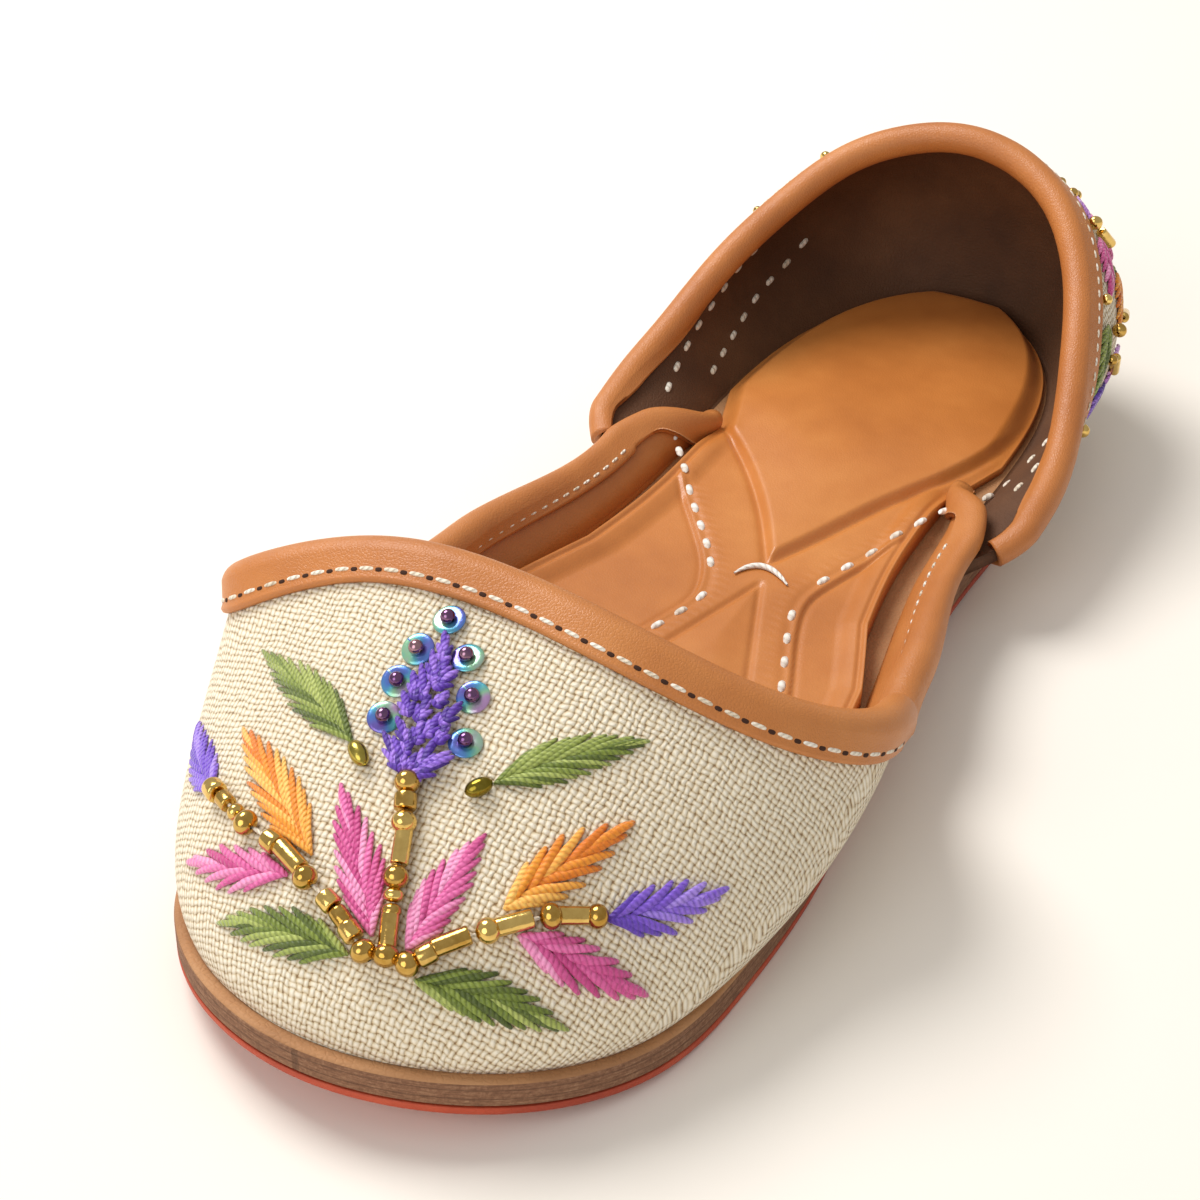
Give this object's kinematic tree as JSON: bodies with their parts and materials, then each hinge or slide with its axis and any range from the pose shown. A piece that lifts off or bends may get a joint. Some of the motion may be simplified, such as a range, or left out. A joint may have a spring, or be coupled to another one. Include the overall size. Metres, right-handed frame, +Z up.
{
  "type": "mojari shoe",
  "caption": "Slip-on mojari (jutti) shoe with an open waist, leather bindings, padded sock and layered leather sole; canvas upper embroidered with leaves and beads.",
  "frame": {"origin": "on the floor, under the middle of the shoe's bounding box", "axes": "+Z up, -Y towards the toe, +Y towards the heel; -X is the wearer's right"},
  "size_m": [0.1038, 0.248, 0.0545],
  "materials": {
    "red_leather": "worn matte, dyed red-orange",
    "board": "raw stacked leather edge",
    "canvas": "coarse plain weave",
    "tan_leather": "satin, fine grain"
  },
  "bodies": {
    "root": {"outsole": "red_leather", "midsole": "board", "insole": "tan_leather", "upper": "canvas", "vamp_binding": "tan_leather", "quarter_binding": "tan_leather"}
  },
  "joints": []
}
